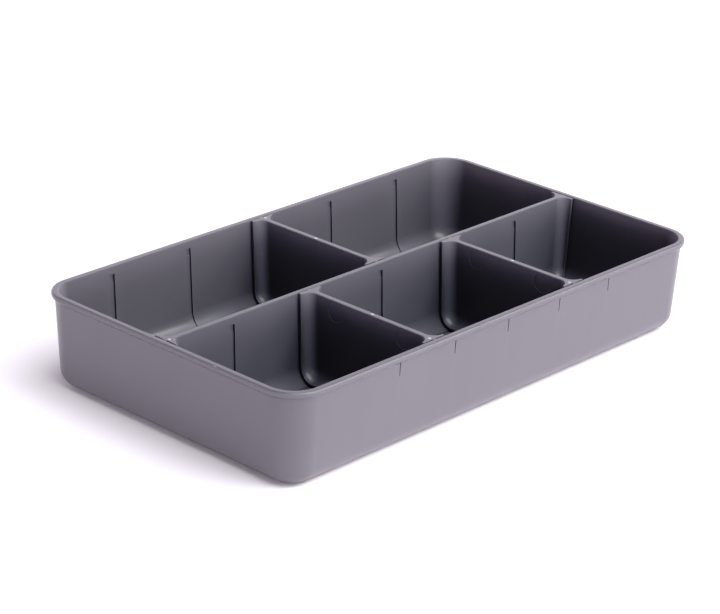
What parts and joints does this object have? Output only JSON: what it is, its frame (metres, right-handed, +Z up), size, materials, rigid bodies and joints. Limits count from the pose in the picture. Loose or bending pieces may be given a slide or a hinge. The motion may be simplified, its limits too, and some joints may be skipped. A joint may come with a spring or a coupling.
{
  "type": "drawer organizer insert",
  "caption": "Shallow rounded rectangular desk drawer tray, divided by a long lift-out divider and shorter cross dividers set in locating grooves.",
  "frame": {"origin": "centre of the face that the tray rests on", "axes": "+X along the tray's length, +Y towards the side with two compartments, +Z up"},
  "size_m": [0.281, 0.166, 0.0472],
  "materials": {
    "tray_plastic": "satin, fine moulded grain",
    "divider_plastic": "satin, fine moulded grain"
  },
  "bodies": {
    "tray": {"tray": "tray_plastic"},
    "long_divider": {"long_divider": "divider_plastic"},
    "rear_cross_divider": {"rear_cross_divider": "divider_plastic"},
    "front_left_cross_divider": {"front_left_cross_divider": "divider_plastic"},
    "front_right_cross_divider": {"front_right_cross_divider": "divider_plastic"}
  },
  "joints": [
    {"name": "long_divider_lift", "type": "slide", "parent": "tray", "child": "long_divider", "axis": [0, 0, 1], "range_m": [0, 0.05]},
    {"name": "rear_cross_divider_lift", "type": "slide", "parent": "long_divider", "child": "rear_cross_divider", "axis": [0, 0, 1], "range_m": [0, 0.05]},
    {"name": "front_left_cross_divider_lift", "type": "slide", "parent": "long_divider", "child": "front_left_cross_divider", "axis": [0, 0, 1], "range_m": [0, 0.05]},
    {"name": "front_right_cross_divider_lift", "type": "slide", "parent": "long_divider", "child": "front_right_cross_divider", "axis": [0, 0, 1], "range_m": [0, 0.05]}
  ]
}
